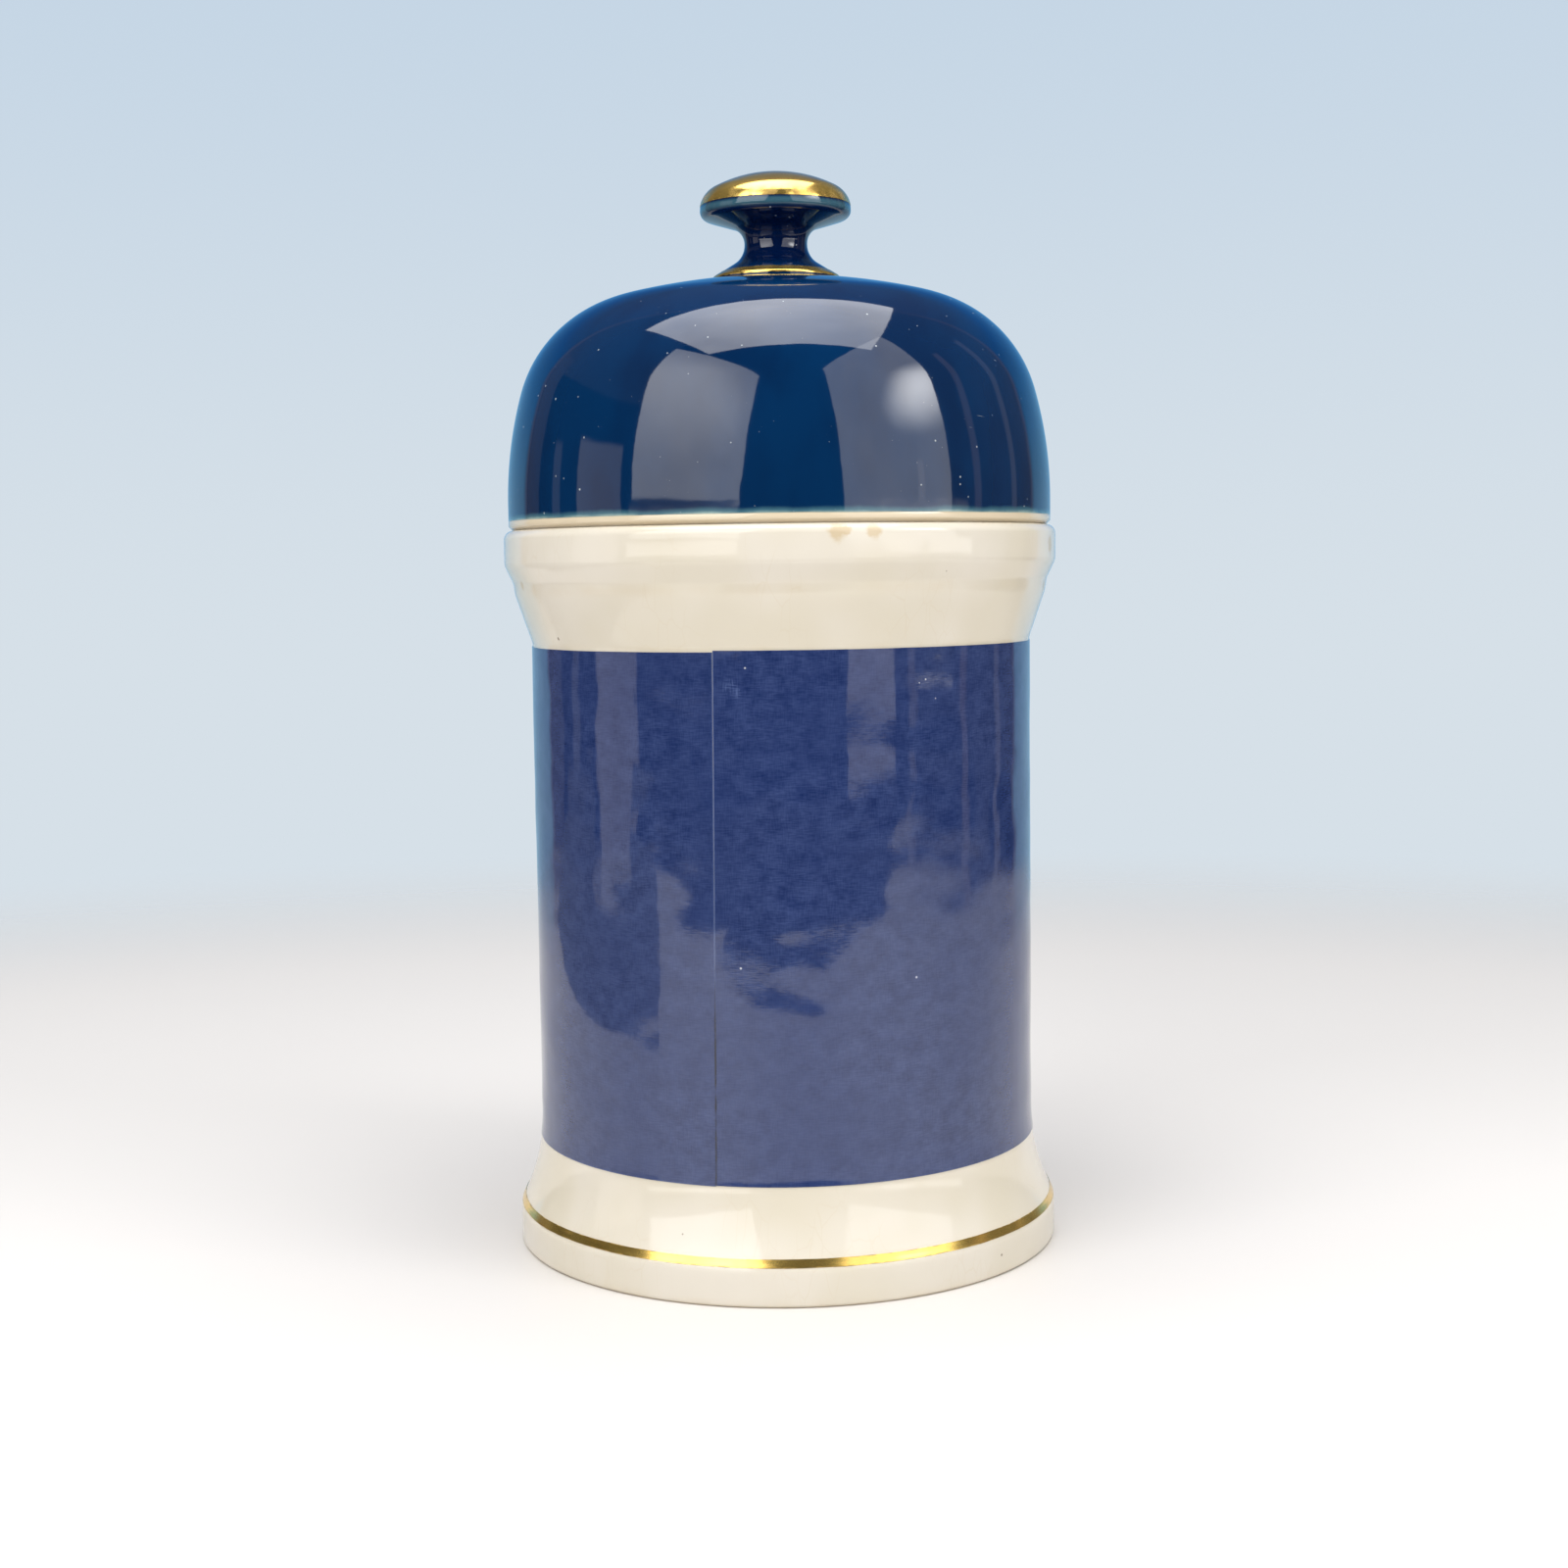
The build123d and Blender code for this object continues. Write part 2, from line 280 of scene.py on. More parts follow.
def turnedTree():
    tree = bpy.data.node_groups.new("turnedForm", "GeometryNodeTree")
    tree.interface.new_socket(name="Profile", in_out="INPUT", socket_type="NodeSocketGeometry")
    for name in turnedInputs:
        kind = "NodeSocket" + inputKinds.get(name, "Float")
        tree.interface.new_socket(name=name, in_out="INPUT", socket_type=kind)
    tree.interface.new_socket(name="Piece", in_out="OUTPUT", socket_type="NodeSocketGeometry")
    nodes = Nodes(tree)
    given = nodes.add("NodeGroupInput")
    profile = given.other("Profile")
    rows = nodes.add("GeometryNodeAttributeDomainSize", {0: profile}, component="MESH")
    sockets = {
        "Size X": 1.0,
        "Size Y": 1.0,
        "Vertices X": given.other("Round Steps") + 1,
        "Vertices Y": rows,
    }
    grid = nodes.add("GeometryNodeMeshGrid", sockets)
    flat = nodes.split(nodes.add("GeometryNodeInputPosition"))
    around = flat + 0.5
    along = flat.other("Y") + 0.5

    # the edges wander by sliding the rows along the profile
    turn = around * (2 * pi)
    reach = given.other("Edge Waves") / (2 * pi)
    depth = along * turning["rowsApart"]
    loop = nodes.vector(turn.math("COSINE") * reach, turn.math("SINE") * reach, depth)
    ripple = nodes.noise(loop, given.other("Seed"), 3.0)
    room = given.other("Edge Room")
    outward = (along * 2 - 1) * (ripple - 0.5) * 2 * given.other("Edge Wander")
    slid = room + along * (1 - room * 2) + given.other("Skew") * (0.5 - around) + outward
    row = slid.math("MAXIMUM", 0.0).math("MINIMUM", 1.0) * (rows - 1)
    rowBelow = (row + 0.0001).math("FLOOR")

    def profilePoint(index):
        place = nodes.add("GeometryNodeInputPosition")
        sockets = {"Geometry": profile, "Value": place, "Index": index}
        settings = {"data_type": "FLOAT_VECTOR", "clamp": True}
        return nodes.add("GeometryNodeSampleIndex", sockets, **settings)

    sockets = {
        "Factor": (row - rowBelow).math("MAXIMUM", 0.0),
        "A": profilePoint(rowBelow),
        "B": profilePoint(rowBelow + 1),
    }
    spot = nodes.split(nodes.add("ShaderNodeMix", sockets, data_type="VECTOR"))

    # turn each row about the axis, leaving the seam's gap
    gapLow = given.other("Gap Low")
    gap = (gapLow + (given.other("Gap High") - gapLow) * along) / spot
    start = given.other("Seam Turn") + given.other("Seam Drift") * along + gap * 0.5
    angle = start + around * (2 * pi - gap)
    placed = nodes.vector(spot * angle.math("COSINE"), spot * angle.math("SINE"), spot.other("Z"))
    piece = grid
    for name, field in (("around", around), ("along", along)):
        sockets = {"Geometry": piece, "Name": name, "Value": field}
        piece = nodes.add("GeometryNodeStoreNamedAttribute", sockets)
    piece = nodes.add("GeometryNodeSetPosition", {"Geometry": piece, "Position": placed})
    sockets = {"Geometry": piece, "Distance": turning["weld"]}
    piece = nodes.add("GeometryNodeMergeByDistance", sockets)

    # the wall's slow waviness, and a coat's lift off what it lies on
    here = nodes.add("GeometryNodeInputPosition")
    sockets = {
        "Vector": here,
        "W": given.other("Seed"),
        "Scale": 1 / given.other("Uneven Size"),
        "Detail": 1.0,
    }
    waves = nodes.add("ShaderNodeTexNoise", sockets, noise_dimensions="4D")
    height = nodes.split(here).other("Z")
    wavyFrom = given.other("Wavy From")
    wavyTo = given.other("Wavy To")
    rising = nodes.smooth(height, wavyFrom, wavyFrom + turning["wavyFade"])
    falling = nodes.smooth(height, wavyTo, wavyTo - turning["wavyFade"])
    calm = given.other("Calm Share")
    grounded = nodes.smooth(height, 0.0, turning["groundFade"])
    share = (calm + rising * falling * (1 - calm)) * grounded
    rise = given.other("Lift") + (waves - 0.5) * given.other("Unevenness") * share
    offset = nodes.scaled(nodes.add("GeometryNodeInputNormal"), rise)
    piece = nodes.add("GeometryNodeSetPosition", {"Geometry": piece, "Offset": offset})
    piece = nodes.add("GeometryNodeSetShadeSmooth", {"Geometry": piece})
    piece = nodes.add("GeometryNodeRealizeInstances", {"Geometry": piece})
    sockets = {"Geometry": piece, "Material": given.other("Finish")}
    piece = nodes.add("GeometryNodeSetMaterial", sockets)
    nodes.add("NodeGroupOutput", {0: piece})
    return tree


def newObject(name, data):
    piece = bpy.data.objects.new(name, data)
    bpy.context.scene.collection.objects.link(piece)
    return piece


def turned(name, path, finish, body, node, sizes, coat=0.0):
    # sizes are the tree's inputs by name; coat is a thin skin's whole thickness
    points = [(p.real * mm, 0, p.imag * mm) for p in path]
    mesh = bpy.data.meshes.new(name)
    mesh.from_pydata(points, [(i, i + 1) for i in range(len(points) - 1)], [])
    piece = newObject(name, mesh)
    tree = bpy.data.node_groups.get("turnedForm") or turnedTree()
    modifier = piece.modifiers.new("turned", "NODES")
    modifier.node_group = tree
    chosen = {"Calm Share": 1.0, "Finish": finish, **sizes}
    for item in tree.interface.items_tree:
        if item.in_out == "INPUT" and item.name in chosen:
            modifier[item.identifier] = chosen[item.name]
    if coat:
        skin = piece.modifiers.new("skin", "SOLIDIFY")
        skin.thickness = coat * mm
        skin.offset = -1.0
    seen = piece.evaluated_get(bpy.context.evaluated_depsgraph_get())
    made = bpy.data.meshes.new_from_object(seen)
    piece.modifiers.clear()
    piece.data = made
    bpy.data.meshes.remove(mesh)
    made.name = name
    made.set_sharp_from_angle(angle=radians(turning["sharpAngle"]))
    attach(piece, body)
    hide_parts(node)
    print(name, "turned:", len(made.polygons), "faces")


def turnFromFront(angle):
    # the front faces -Y
    return radians(angle - 90)


def waviness(piece):
    return {
        "Unevenness": piece["unevenness"] * mm,
        "Uneven Size": piece["unevenSize"] * mm,
        "Seed": piece["seed"],
        "Round Steps": piece["roundSteps"],
    }


def wandering(share, waves, thickness=0.0, room=0.0):
    # an edge that wanders this share of the profile's length, and a coat's lift
    return {
        "Edge Room": room + share,
        "Edge Wander": share,
        "Edge Waves": waves,
        "Lift": thickness * mm,
    }


jar = {
    "bandRadius": highest("jar_body", 0),
    "rimTop": highest("jar_body"),
    "wrapHighGap": 0.4,
    "bodyInset": 5.2,  # the body's wall stands this far inside the collar's band
    "footGrowth": 4.8,
    "footBand": 7.0,
    "flareTop": 27.0,
    "coneGrowth": 3.2,
    "coneRise": 9.6,
    "neckGrowth": 0.3,
    "neckRise": 2.2,
    "stepRise": 3.6,
    "wall": 4.5,
    "rimWall": 4.8,
    "mouthDepth": 9.0,
    "cavityFlareDrop": 2.0,
    "footRecess": 3.0,
    "footRing": 7.0,
    "floorTop": 8.0,
    "roundSteps": 192,
    "unevenness": 0.5,  # slow waviness of the straight wall
    "unevenSize": 13.0,
    "wavyBelow": 8.0,  # the waviness starts this far below the flare's top
    "wavyAbove": 2.0,  # and ends this far above the collar's base
    "calmShare": 0.16,  # how much of it the collar and foot have
    "seed": 3.0,
    "rounds": {
        "recess": 1.2,
        "footInside": 0.8,
        "footOutside": 0.8,
        "footBand": 3.0,
        "coneBase": 2.0,
        "coneTop": 6.0,
        "neckTop": 2.5,
        "band": 3.0,
        "rimOutside": 1.8,
        "rimInside": 0.8,
        "mouth": 1.0,
        "cavityTop": 4.0,
        "cavityFloor": 8.0,
    },
}
jar["bodyRadius"] = jar["bandRadius"] - jar["bodyInset"]
jar["footRadius"] = jar["bodyRadius"] + jar["footGrowth"]
jar["collarBase"] = highest("wrap_transfer") + jar["wrapHighGap"]

wavy = {
    **waviness(jar),
    "Wavy From": (jar["flareTop"] - jar["wavyBelow"]) * mm,
    "Wavy To": (jar["collarBase"] + jar["wavyAbove"]) * mm,
    "Calm Share": jar["calmShare"],
}


def flarePoints():
    # the hollow arc from the foot's band up to the straight wall
    rise = jar["flareTop"] - jar["footBand"]
    growth = jar["footGrowth"]
    radius = (rise**2 + growth**2) / (2 * growth)
    centre = complex(jar["bodyRadius"] + radius, jar["flareTop"])
    sweep = degrees(asin(rise / radius))
    return arcPoints(centre, radius, 180 + sweep, 180, 2.0)


def jarOutside():
    rounds = jar["rounds"]
    body = jar["bodyRadius"]
    foot = jar["footRadius"]
    cone = body + jar["coneGrowth"]
    neck = cone + jar["neckGrowth"]
    coneTop = jar["collarBase"] + jar["coneRise"]
    neckTop = coneTop + jar["neckRise"]
    return [
        (foot, 0, rounds["footOutside"]),
        (foot, jar["footBand"], rounds["footBand"]),
        *[asCorner(p) for p in flarePoints()[1:]],
        (body, jar["collarBase"], rounds["coneBase"]),
        (cone, coneTop, rounds["coneTop"]),
        (neck, neckTop, rounds["neckTop"]),
        (jar["bandRadius"], neckTop + jar["stepRise"], rounds["band"]),
        (jar["bandRadius"], jar["rimTop"], rounds["rimOutside"]),
    ]


def jarOutline():
    rounds = jar["rounds"]
    ring = jar["footRadius"] - jar["footRing"]
    inner = jar["bodyRadius"] - jar["wall"]
    mouth = jar["bandRadius"] - jar["rimWall"]
    return outline([
        (0, jar["footRecess"]),
        (ring, jar["footRecess"], rounds["recess"]),
        (ring, 0, rounds["footInside"]),
        *jarOutside(),
        (mouth, jar["rimTop"], rounds["rimInside"]),
        (mouth, jar["rimTop"] - jar["mouthDepth"], rounds["mouth"]),
        (inner, jar["collarBase"] - jar["cavityFlareDrop"], rounds["cavityTop"]),
        (inner, jar["floorTop"], rounds["cavityFloor"]),
        (0, jar["floorTop"]),
    ])


def wallPath():
    # the jar's outside alone, from under the foot to the top of the rim
    start = (jar["footRadius"] - 3, 0)
    return outline([start, *jarOutside(), (jar["bandRadius"] - 4, jar["rimTop"])], 0.5)


def makeJarBody(finish):
    turned("jarBody", jarOutline(), finish, "jar", "jar_body", wavy)


wrap = {
    "low": lowest("wrap_transfer"),
    "high": highest("wrap_transfer"),
    "thickness": 0.12,
    "sunk": 0.06,
    "seamTurn": -15.3,  # degrees from the front, at the foot
    "seamDrift": 0.9,  # further round at the top
    "gapLow": 0.02,
    "gapHigh": 0.11,
    "skew": 0.35,  # one end of the sheet lies this much lower
    "edgeWander": 0.12,
    "edgeWaves": 40.0,  # waves round each edge, near enough
    "rowHeight": 1.2,
}


def makeWrapTransfer(finish):
    tall = wrap["high"] - wrap["low"]
    skew = wrap["skew"] / tall
    wander = wrap["edgeWander"] / tall / 2
    sizes = {
        **wavy,
        "Seam Turn": turnFromFront(wrap["seamTurn"]),
        "Seam Drift": radians(wrap["seamDrift"]),
        "Gap Low": wrap["gapLow"] * mm,
        "Gap High": wrap["gapHigh"] * mm,
        "Skew": skew,
        **wandering(wander, wrap["edgeWaves"], wrap["thickness"], skew / 2),
    }
    path = stretch(wallPath(), wrap["low"], wrap["high"], wrap["rowHeight"])
    coat = wrap["thickness"] + wrap["sunk"]
    turned("wrapTransfer", path, finish, "jar", "wrap_transfer", sizes, coat)


footGilt = {
    "narrower": 0.2,  # than the room the line has, at each edge
    "thickness": 0.08,
    "sunk": 0.06,
    "edgeWander": 0.22,
    "edgeWaves": 60.0,
    "rowHeight": 0.15,
}
footGilt["low"] = lowest("foot_gilt_line") + footGilt["narrower"]
footGilt["high"] = highest("foot_gilt_line") - footGilt["narrower"]


def makeFootGiltLine(finish):
    wander = footGilt["edgeWander"] / (footGilt["high"] - footGilt["low"]) / 2
    sizes = {**wavy, **wandering(wander, footGilt["edgeWaves"], footGilt["thickness"])}
    path = stretch(wallPath(), footGilt["low"], footGilt["high"], footGilt["rowHeight"])
    coat = footGilt["thickness"] + footGilt["sunk"]
    turned("footGiltLine", path, finish, "jar", "foot_gilt_line", sizes, coat)


lid = {
    "radius": highest("lid_shell", 0),
    "flangeBase": lowest("lid_shell"),
    "glazeEdge": lowest("lid_glaze"),
    "seat": jar["rimTop"],
    "skirtRise": 5.0,
    "sideRound": 80.0,
    "sideSweep": 15.8,
    "shoulderRound": 26.7,
    "shoulderEnd": 76.0,
    "wall": 4.5,
    "seatChamfer": 0.8,
    "flangeClearance": 0.8,
    "flangeWall": 3.5,
    "roundSteps": 192,
    "unevenness": 0.07,
    "unevenSize": 18.0,
    "seed": 8.0,
    "glaze": 0.2,  # thickness of the coloured coat
    "glazeSunk": 0.1,
    "glazeBevel": 0.3,
    "glazeHidden": 0.6,  # how far it runs in under the knob
    "glazeWander": 0.002,  # share of the coat's length that its edge wanders
    "glazeWaves": 50.0,
    "rounds": {
        "throat": 1.5,
        "flangeInside": 0.8,
        "flangeOutside": 1.0,
        "flangeTop": 0.3,
        "seatEdge": 0.3,
    },
}


def domeArcs(depth):
    # from the skirt to the pole, this far inside the dome's surface
    skirtTop = lid["seat"] + lid["skirtRise"]
    sideCentre = complex(lid["radius"] - lid["sideRound"], skirtTop)
    sweep = radians(lid["sideSweep"])
    reach = lid["sideRound"] - lid["shoulderRound"]
    shoulderCentre = sideCentre + reach * complex(cos(sweep), sin(sweep))
    end = radians(lid["shoulderEnd"])
    crownRound = shoulderCentre.real / cos(end) + lid["shoulderRound"]
    crownCentre = complex(0, shoulderCentre.imag - shoulderCentre.real * tan(end))
    side = arcPoints(sideCentre, lid["sideRound"] - depth, 0, lid["sideSweep"], 1.1)
    shoulder = arcPoints(
        shoulderCentre, lid["shoulderRound"] - depth, lid["sideSweep"], lid["shoulderEnd"], 3.0
    )
    crown = arcPoints(crownCentre, crownRound - depth, lid["shoulderEnd"], 90, 0.7)
    return side + shoulder[1:] + crown[1:]


def crownHeight(radius):
    # height of the dome's surface at a radius on its crown
    crown = domeArcs(0)
    for start, end in zip(crown, crown[1:]):
        if end.real <= radius <= start.real:
            share = (start.real - radius) / (start.real - end.real)
            return start.imag + (end.imag - start.imag) * share
    return crown[-1].imag


def lidOutline():
    rounds = lid["rounds"]
    mouth = jar["bandRadius"] - jar["rimWall"]
    flange = mouth - lid["flangeClearance"]
    throat = flange - lid["flangeWall"]
    seat = lid["seat"]
    return outline([
        *[asCorner(p) for p in reversed(domeArcs(lid["wall"]))],
        (throat, seat, rounds["throat"]),
        (throat, lid["flangeBase"], rounds["flangeInside"]),
        (flange, lid["flangeBase"], rounds["flangeOutside"]),
        (flange, seat, rounds["flangeTop"]),
        (lid["radius"] - lid["seatChamfer"], seat),
        (lid["radius"], seat + lid["seatChamfer"], rounds["seatEdge"]),
        (lid["radius"], lid["glazeEdge"]),
        (lid["radius"] - lid["glaze"], lid["glazeEdge"] + lid["glazeBevel"]),
        *[asCorner(p) for p in domeArcs(lid["glaze"])],
    ])


def glazeOutline():
    # the dome's surface from the bare edge up to a ring under the knob
    path = [complex(lid["radius"], lid["glazeEdge"]), *domeArcs(0)]
    inner = knob["baseRadius"] - lid["glazeHidden"]
    kept = [p for p in path if p.real > inner]
    kept.append(complex(inner, crownHeight(inner)))
    return divided(kept, 1.5)


def makeLidShell(finish):
    turned("lidShell", lidOutline(), finish, "lid", "lid_shell", waviness(lid))


def makeLidGlaze(finish):
    sizes = {**waviness(lid), **wandering(lid["glazeWander"], lid["glazeWaves"])}
    coat = lid["glaze"] + lid["glazeSunk"]
    turned("lidGlaze", glazeOutline(), finish, "lid", "lid_glaze", sizes, coat)


knob = {
    "headRadius": highest("lid_knob", 0),
    "top": highest("lid_knob"),
    "baseRadius": 12.6,
    "baseEdge": 0.9,
    "baseSlope": 32.0,
    "neckRadius": 6.25,
    "capRise": 7.4,
    "sideRound": 5.0,
    "headEdge": 1.3,
    "headSlope": 17.0,
    "neckRoundShare": 0.48,
    "baseRound": 0.5,
    "headRound": 1.6,
    "sunk": 0.6,
    "roundSteps": 128,
    "unevenness": 0.05,
    "unevenSize": 9.0,
    "seed": 5.0,
}
knob["widest"] = knob["top"] - knob["capRise"]


def knobOutside():
    base = knob["baseRadius"]
    neck = knob["neckRadius"]
    head = knob["headRadius"]
    edgeTop = crownHeight(base) + knob["baseEdge"]
    neckLow = edgeTop + (base - neck) * tan(radians(knob["baseSlope"]))
    headLow = knob["widest"] - knob["headEdge"]
    neckHigh = headLow - (head - neck) * tan(radians(knob["headSlope"]))
    length = knob["neckRoundShare"] * (neckHigh - neckLow)
    lowRound = length / tan(radians(90 - knob["baseSlope"]) / 2)
    highRound = length / tan(radians(90 - knob["headSlope"]) / 2)

    # the head's side arc meets the cap's arc, which is centred on the axis
    side = knob["sideRound"]
    sideCentre = complex(head - side, knob["widest"])
    rise = knob["capRise"]
    capRound = (sideCentre.real**2 + rise**2 - side**2) / (2 * (rise - side))
    capCentre = complex(0, knob["top"] - capRound)
    meeting = degrees(atan2((sideCentre - capCentre).imag, sideCentre.real))
    sideArc = arcPoints(sideCentre, side, 0, meeting, 5.0)
    capArc = arcPoints(capCentre, capRound, meeting, 90, 3.0)
    return [
        (base, edgeTop, knob["baseRound"]),
        (neck, neckLow, lowRound),
        (neck, neckHigh, highRound),
        (head, headLow, knob["headRound"]),
        *[asCorner(p) for p in sideArc + capArc[1:]],
    ]


def knobOutline():
    sunk = crownHeight(knob["baseRadius"]) - knob["sunk"]
    return outline([(0, sunk), (knob["baseRadius"], sunk), *knobOutside()], 0.6)


def makeLidKnob(finish):
    sizes = waviness(knob)
    turned("lidKnob", knobOutline(), finish, "lid", "lid_knob", sizes)


knobGilt = {
    "thickness": 0.08,
    "sunk": 0.06,
    "capLift": 0.9,  # the cap's gold ends this far above the widest line
    "capWander": 0.2,
    "capWaves": 18.0,
    "capRow": 0.3,
    "lineLift": 0.35,
    "lineReach": 1.7,  # how far in the line runs over the base's slope
    "lineWander": 0.12,  # share of the line's width
    "lineWaves": 24.0,
    "lineRow": 0.15,
}


def makeKnobGilding(finish):
    coat = knobGilt["thickness"] + knobGilt["sunk"]
    path = knobOutline()
    capLow = knob["widest"] + knobGilt["capLift"]
    capPath = stretch(path, capLow, knob["top"], knobGilt["capRow"])
    length = sum(abs(b - a) for a, b in zip(capPath, capPath[1:]))
    wander = knobGilt["capWander"] / length
    edge = wandering(wander, knobGilt["capWaves"], knobGilt["thickness"], -wander)
    sizes = {**waviness(knob), **edge}
    turned("knobGiltCap", capPath, finish, "lid", "knob_gilt_cap", sizes, coat)

    base = crownHeight(knob["baseRadius"])
    reach = knobGilt["lineReach"] * tan(radians(knob["baseSlope"]))
    lineTop = base + knob["baseEdge"] + reach
    linePath = stretch(path, base + knobGilt["lineLift"], lineTop, knobGilt["lineRow"])
    wander = knobGilt["lineWander"] / 2
    edge = wandering(wander, knobGilt["lineWaves"], knobGilt["thickness"])
    sizes = {**waviness(knob), **edge}
    turned("knobGiltLine", linePath, finish, "lid", "knob_gilt_line", sizes, coat)


def newFinish(name):
    finish = bpy.data.materials.new(name)
    finish.use_nodes = True
    nodes = Nodes(finish.node_tree)
    place = nodes.add("ShaderNodeTexCoord").other("Object")
    return finish, nodes, place


def addSurface(nodes, chosen, relief, look):
    # bumps are their strength, and their depth in millimetres
    strength, depth = chosen["bumps"]
    sockets = {"Strength": strength, "Distance": depth * mm, "Height": relief}
    look["Normal"] = nodes.add("ShaderNodeBump", sockets)
    surface = nodes.add("ShaderNodeBsdfPrincipled", look)
    nodes.add("ShaderNodeOutputMaterial", {"Surface": surface})


# Marks are (degrees from the front, height, distance from the axis, size) in millimetres.

cream = {
    "glaze": colour(213, 206, 193),
    "warmer": colour(207, 199, 181),
    "biscuit": colour(205, 188, 158),
    # a warm brown for stains, also used for the painted shade in each hollow
    "stainAndShade": colour(188, 160, 108),
    "craze": colour(196, 178, 146),
    "pit": colour(96, 74, 52),
    "edgeWarmth": 0.35,
    # how strongly each hollow gets painted shade and gathered glaze
    "hollowShadeAndPoolingShare": 0.14,
    "crazing": 0.16,
    "crazeLattice": (330.0, 330.0, 95.0),
    "staining": 0.55,
    "raggedness": 1.6 * mm,
    "pitting": 0.8,
    "speckles": (9.0, 0.22, 0.18, 2.0),  # spacing, radius, share and seed
    "lidEdge": 1.2,  # height of the lid's bare edge above the rim
    "lidBareness": 0.8,
    "roughness": 0.035,
    "cloudiness": 0.04,
    "bareRoughness": 0.5,
    "ior": 1.52,
    "bumps": (0.25, 0.03),
    "stains": [
        (10.8, 141.6, 55.0, 2.2), (12.6, 141.9, 54.8, 1.1), (17.9, 141.7, 55.0, 1.9),
        (72.0, 139.2, 55.2, 2.3), (76.0, 131.2, 53.4, 1.6), (-69.0, 132.6, 53.4, 1.4),
        (141.0, 140.4, 55.2, 2.0),
    ],
    "pits": [
        (-78.0, 140.8, 55.2, 0.55), (-57.0, 122.4, 50.6, 0.5), (83.0, 138.0, 55.2, 0.6),
        (34.0, 134.3, 54.4, 0.3), (-22.0, 12.5, 52.6, 0.3), (48.0, 4.0, 54.8, 0.35),
    ],
}


def creamGlaze():
    finish, nodes, place = newFinish("creamGlaze")
    height = nodes.split(place).other("Z") / mm
    clouded = nodes.smooth(nodes.cloud(place, 26, 1.0), 0.35, 0.65)
    tone = nodes.mix(clouded, cream["glaze"], cream["warmer"])

    # the glaze lies thin and warm on each edge; each hollow gets a warm band that is partly glaze
    # gathered there and partly painted shade
    base = jar["collarBase"]
    edges = nodes.bands(height, [(jar["rimTop"], 1.3), (0.0, 2.2), (jar["flareTop"] * 0.3, 1.4)])
    hollowShadeAndPooling = nodes.bands(height, [(base + 10.7, 1.9), (base - 0.2, 1.2)])
    patchy = nodes.smooth(nodes.cloud(place, 7, 4.0, 4.0), 0.3, 0.75)
    tone = nodes.mix(edges * patchy * cream["edgeWarmth"], tone, cream["biscuit"])
    tone = nodes.mix(hollowShadeAndPooling * patchy * cream["hollowShadeAndPoolingShare"], tone, cream["stainAndShade"])

    # crazing: hairlines that run mostly up and down, in patches
    stretched = nodes.vectorMaths("MULTIPLY", place, cream["crazeLattice"])
    bent = nodes.add("ShaderNodeTexNoise", {"Vector": stretched, "Scale": 0.8})
    lattice = nodes.vectorMaths("ADD", stretched, nodes.scaled(bent.other("Color"), 0.5))
    sockets = {"Vector": lattice, "Scale": 1.0}
    cracks = nodes.add("ShaderNodeTexVoronoi", sockets, feature="DISTANCE_TO_EDGE")
    hairline = nodes.smooth(cracks.other("Distance"), 0.035, 0.0)
    crazed = hairline * nodes.smooth(nodes.cloud(place, 16, 9.0), 0.48, 0.66)
    tone = nodes.mix(crazed * cream["crazing"], tone, cream["craze"])

    # stains under the glaze, with ragged edges, then pits and specks
    torn = nodes.add("ShaderNodeTexNoise", {"Vector": place, "Scale": 900.0})
    ragged = nodes.vectorMaths("ADD", place, nodes.scaled(torn.other("Color"), cream["raggedness"]))
    centred = nodes.vectorMaths("SUBTRACT", ragged, (cream["raggedness"] / 2,) * 3)
    stained = nodes.marks(centred, cream["stains"])
    tone = nodes.mix(stained * cream["staining"], tone, cream["stainAndShade"])
    speckled = nodes.specks(place, *cream["speckles"])
    dark = (nodes.marks(place, cream["pits"]) + speckled * 0.6).math("MINIMUM", 1.0)
    tone = nodes.mix(dark * cream["pitting"], tone, cream["pit"])

    # bare clay: the foot's ring is wiped where it stands, and so is the lid's lower edge
    bare = nodes.smooth(height, 0.35, 0.12)
    offEdge = (height - jar["rimTop"] - cream["lidEdge"]).math("ABSOLUTE")
    lidEdge = nodes.smooth(offEdge, 1.3, 0.7) * cream["lidBareness"]
    tone = nodes.mix((bare + lidEdge).math("MINIMUM", 1.0), tone, cream["biscuit"])
    dull = nodes.cloud(place, 12, 6.0, 3.0) * cream["cloudiness"]
    rough = cream["roughness"] + dull + bare * cream["bareRoughness"]
    grain = nodes.cloud(place, 1.6, 3.0, 3.0) + nodes.cloud(place, 6.0, 5.0, 1.0) * 2
    relief = grain - dark * 2.5 - crazed * 0.4
    look = {"Base Color": tone, "Roughness": rough, "IOR": cream["ior"]}
    addSurface(nodes, cream, relief, look)
    return finish


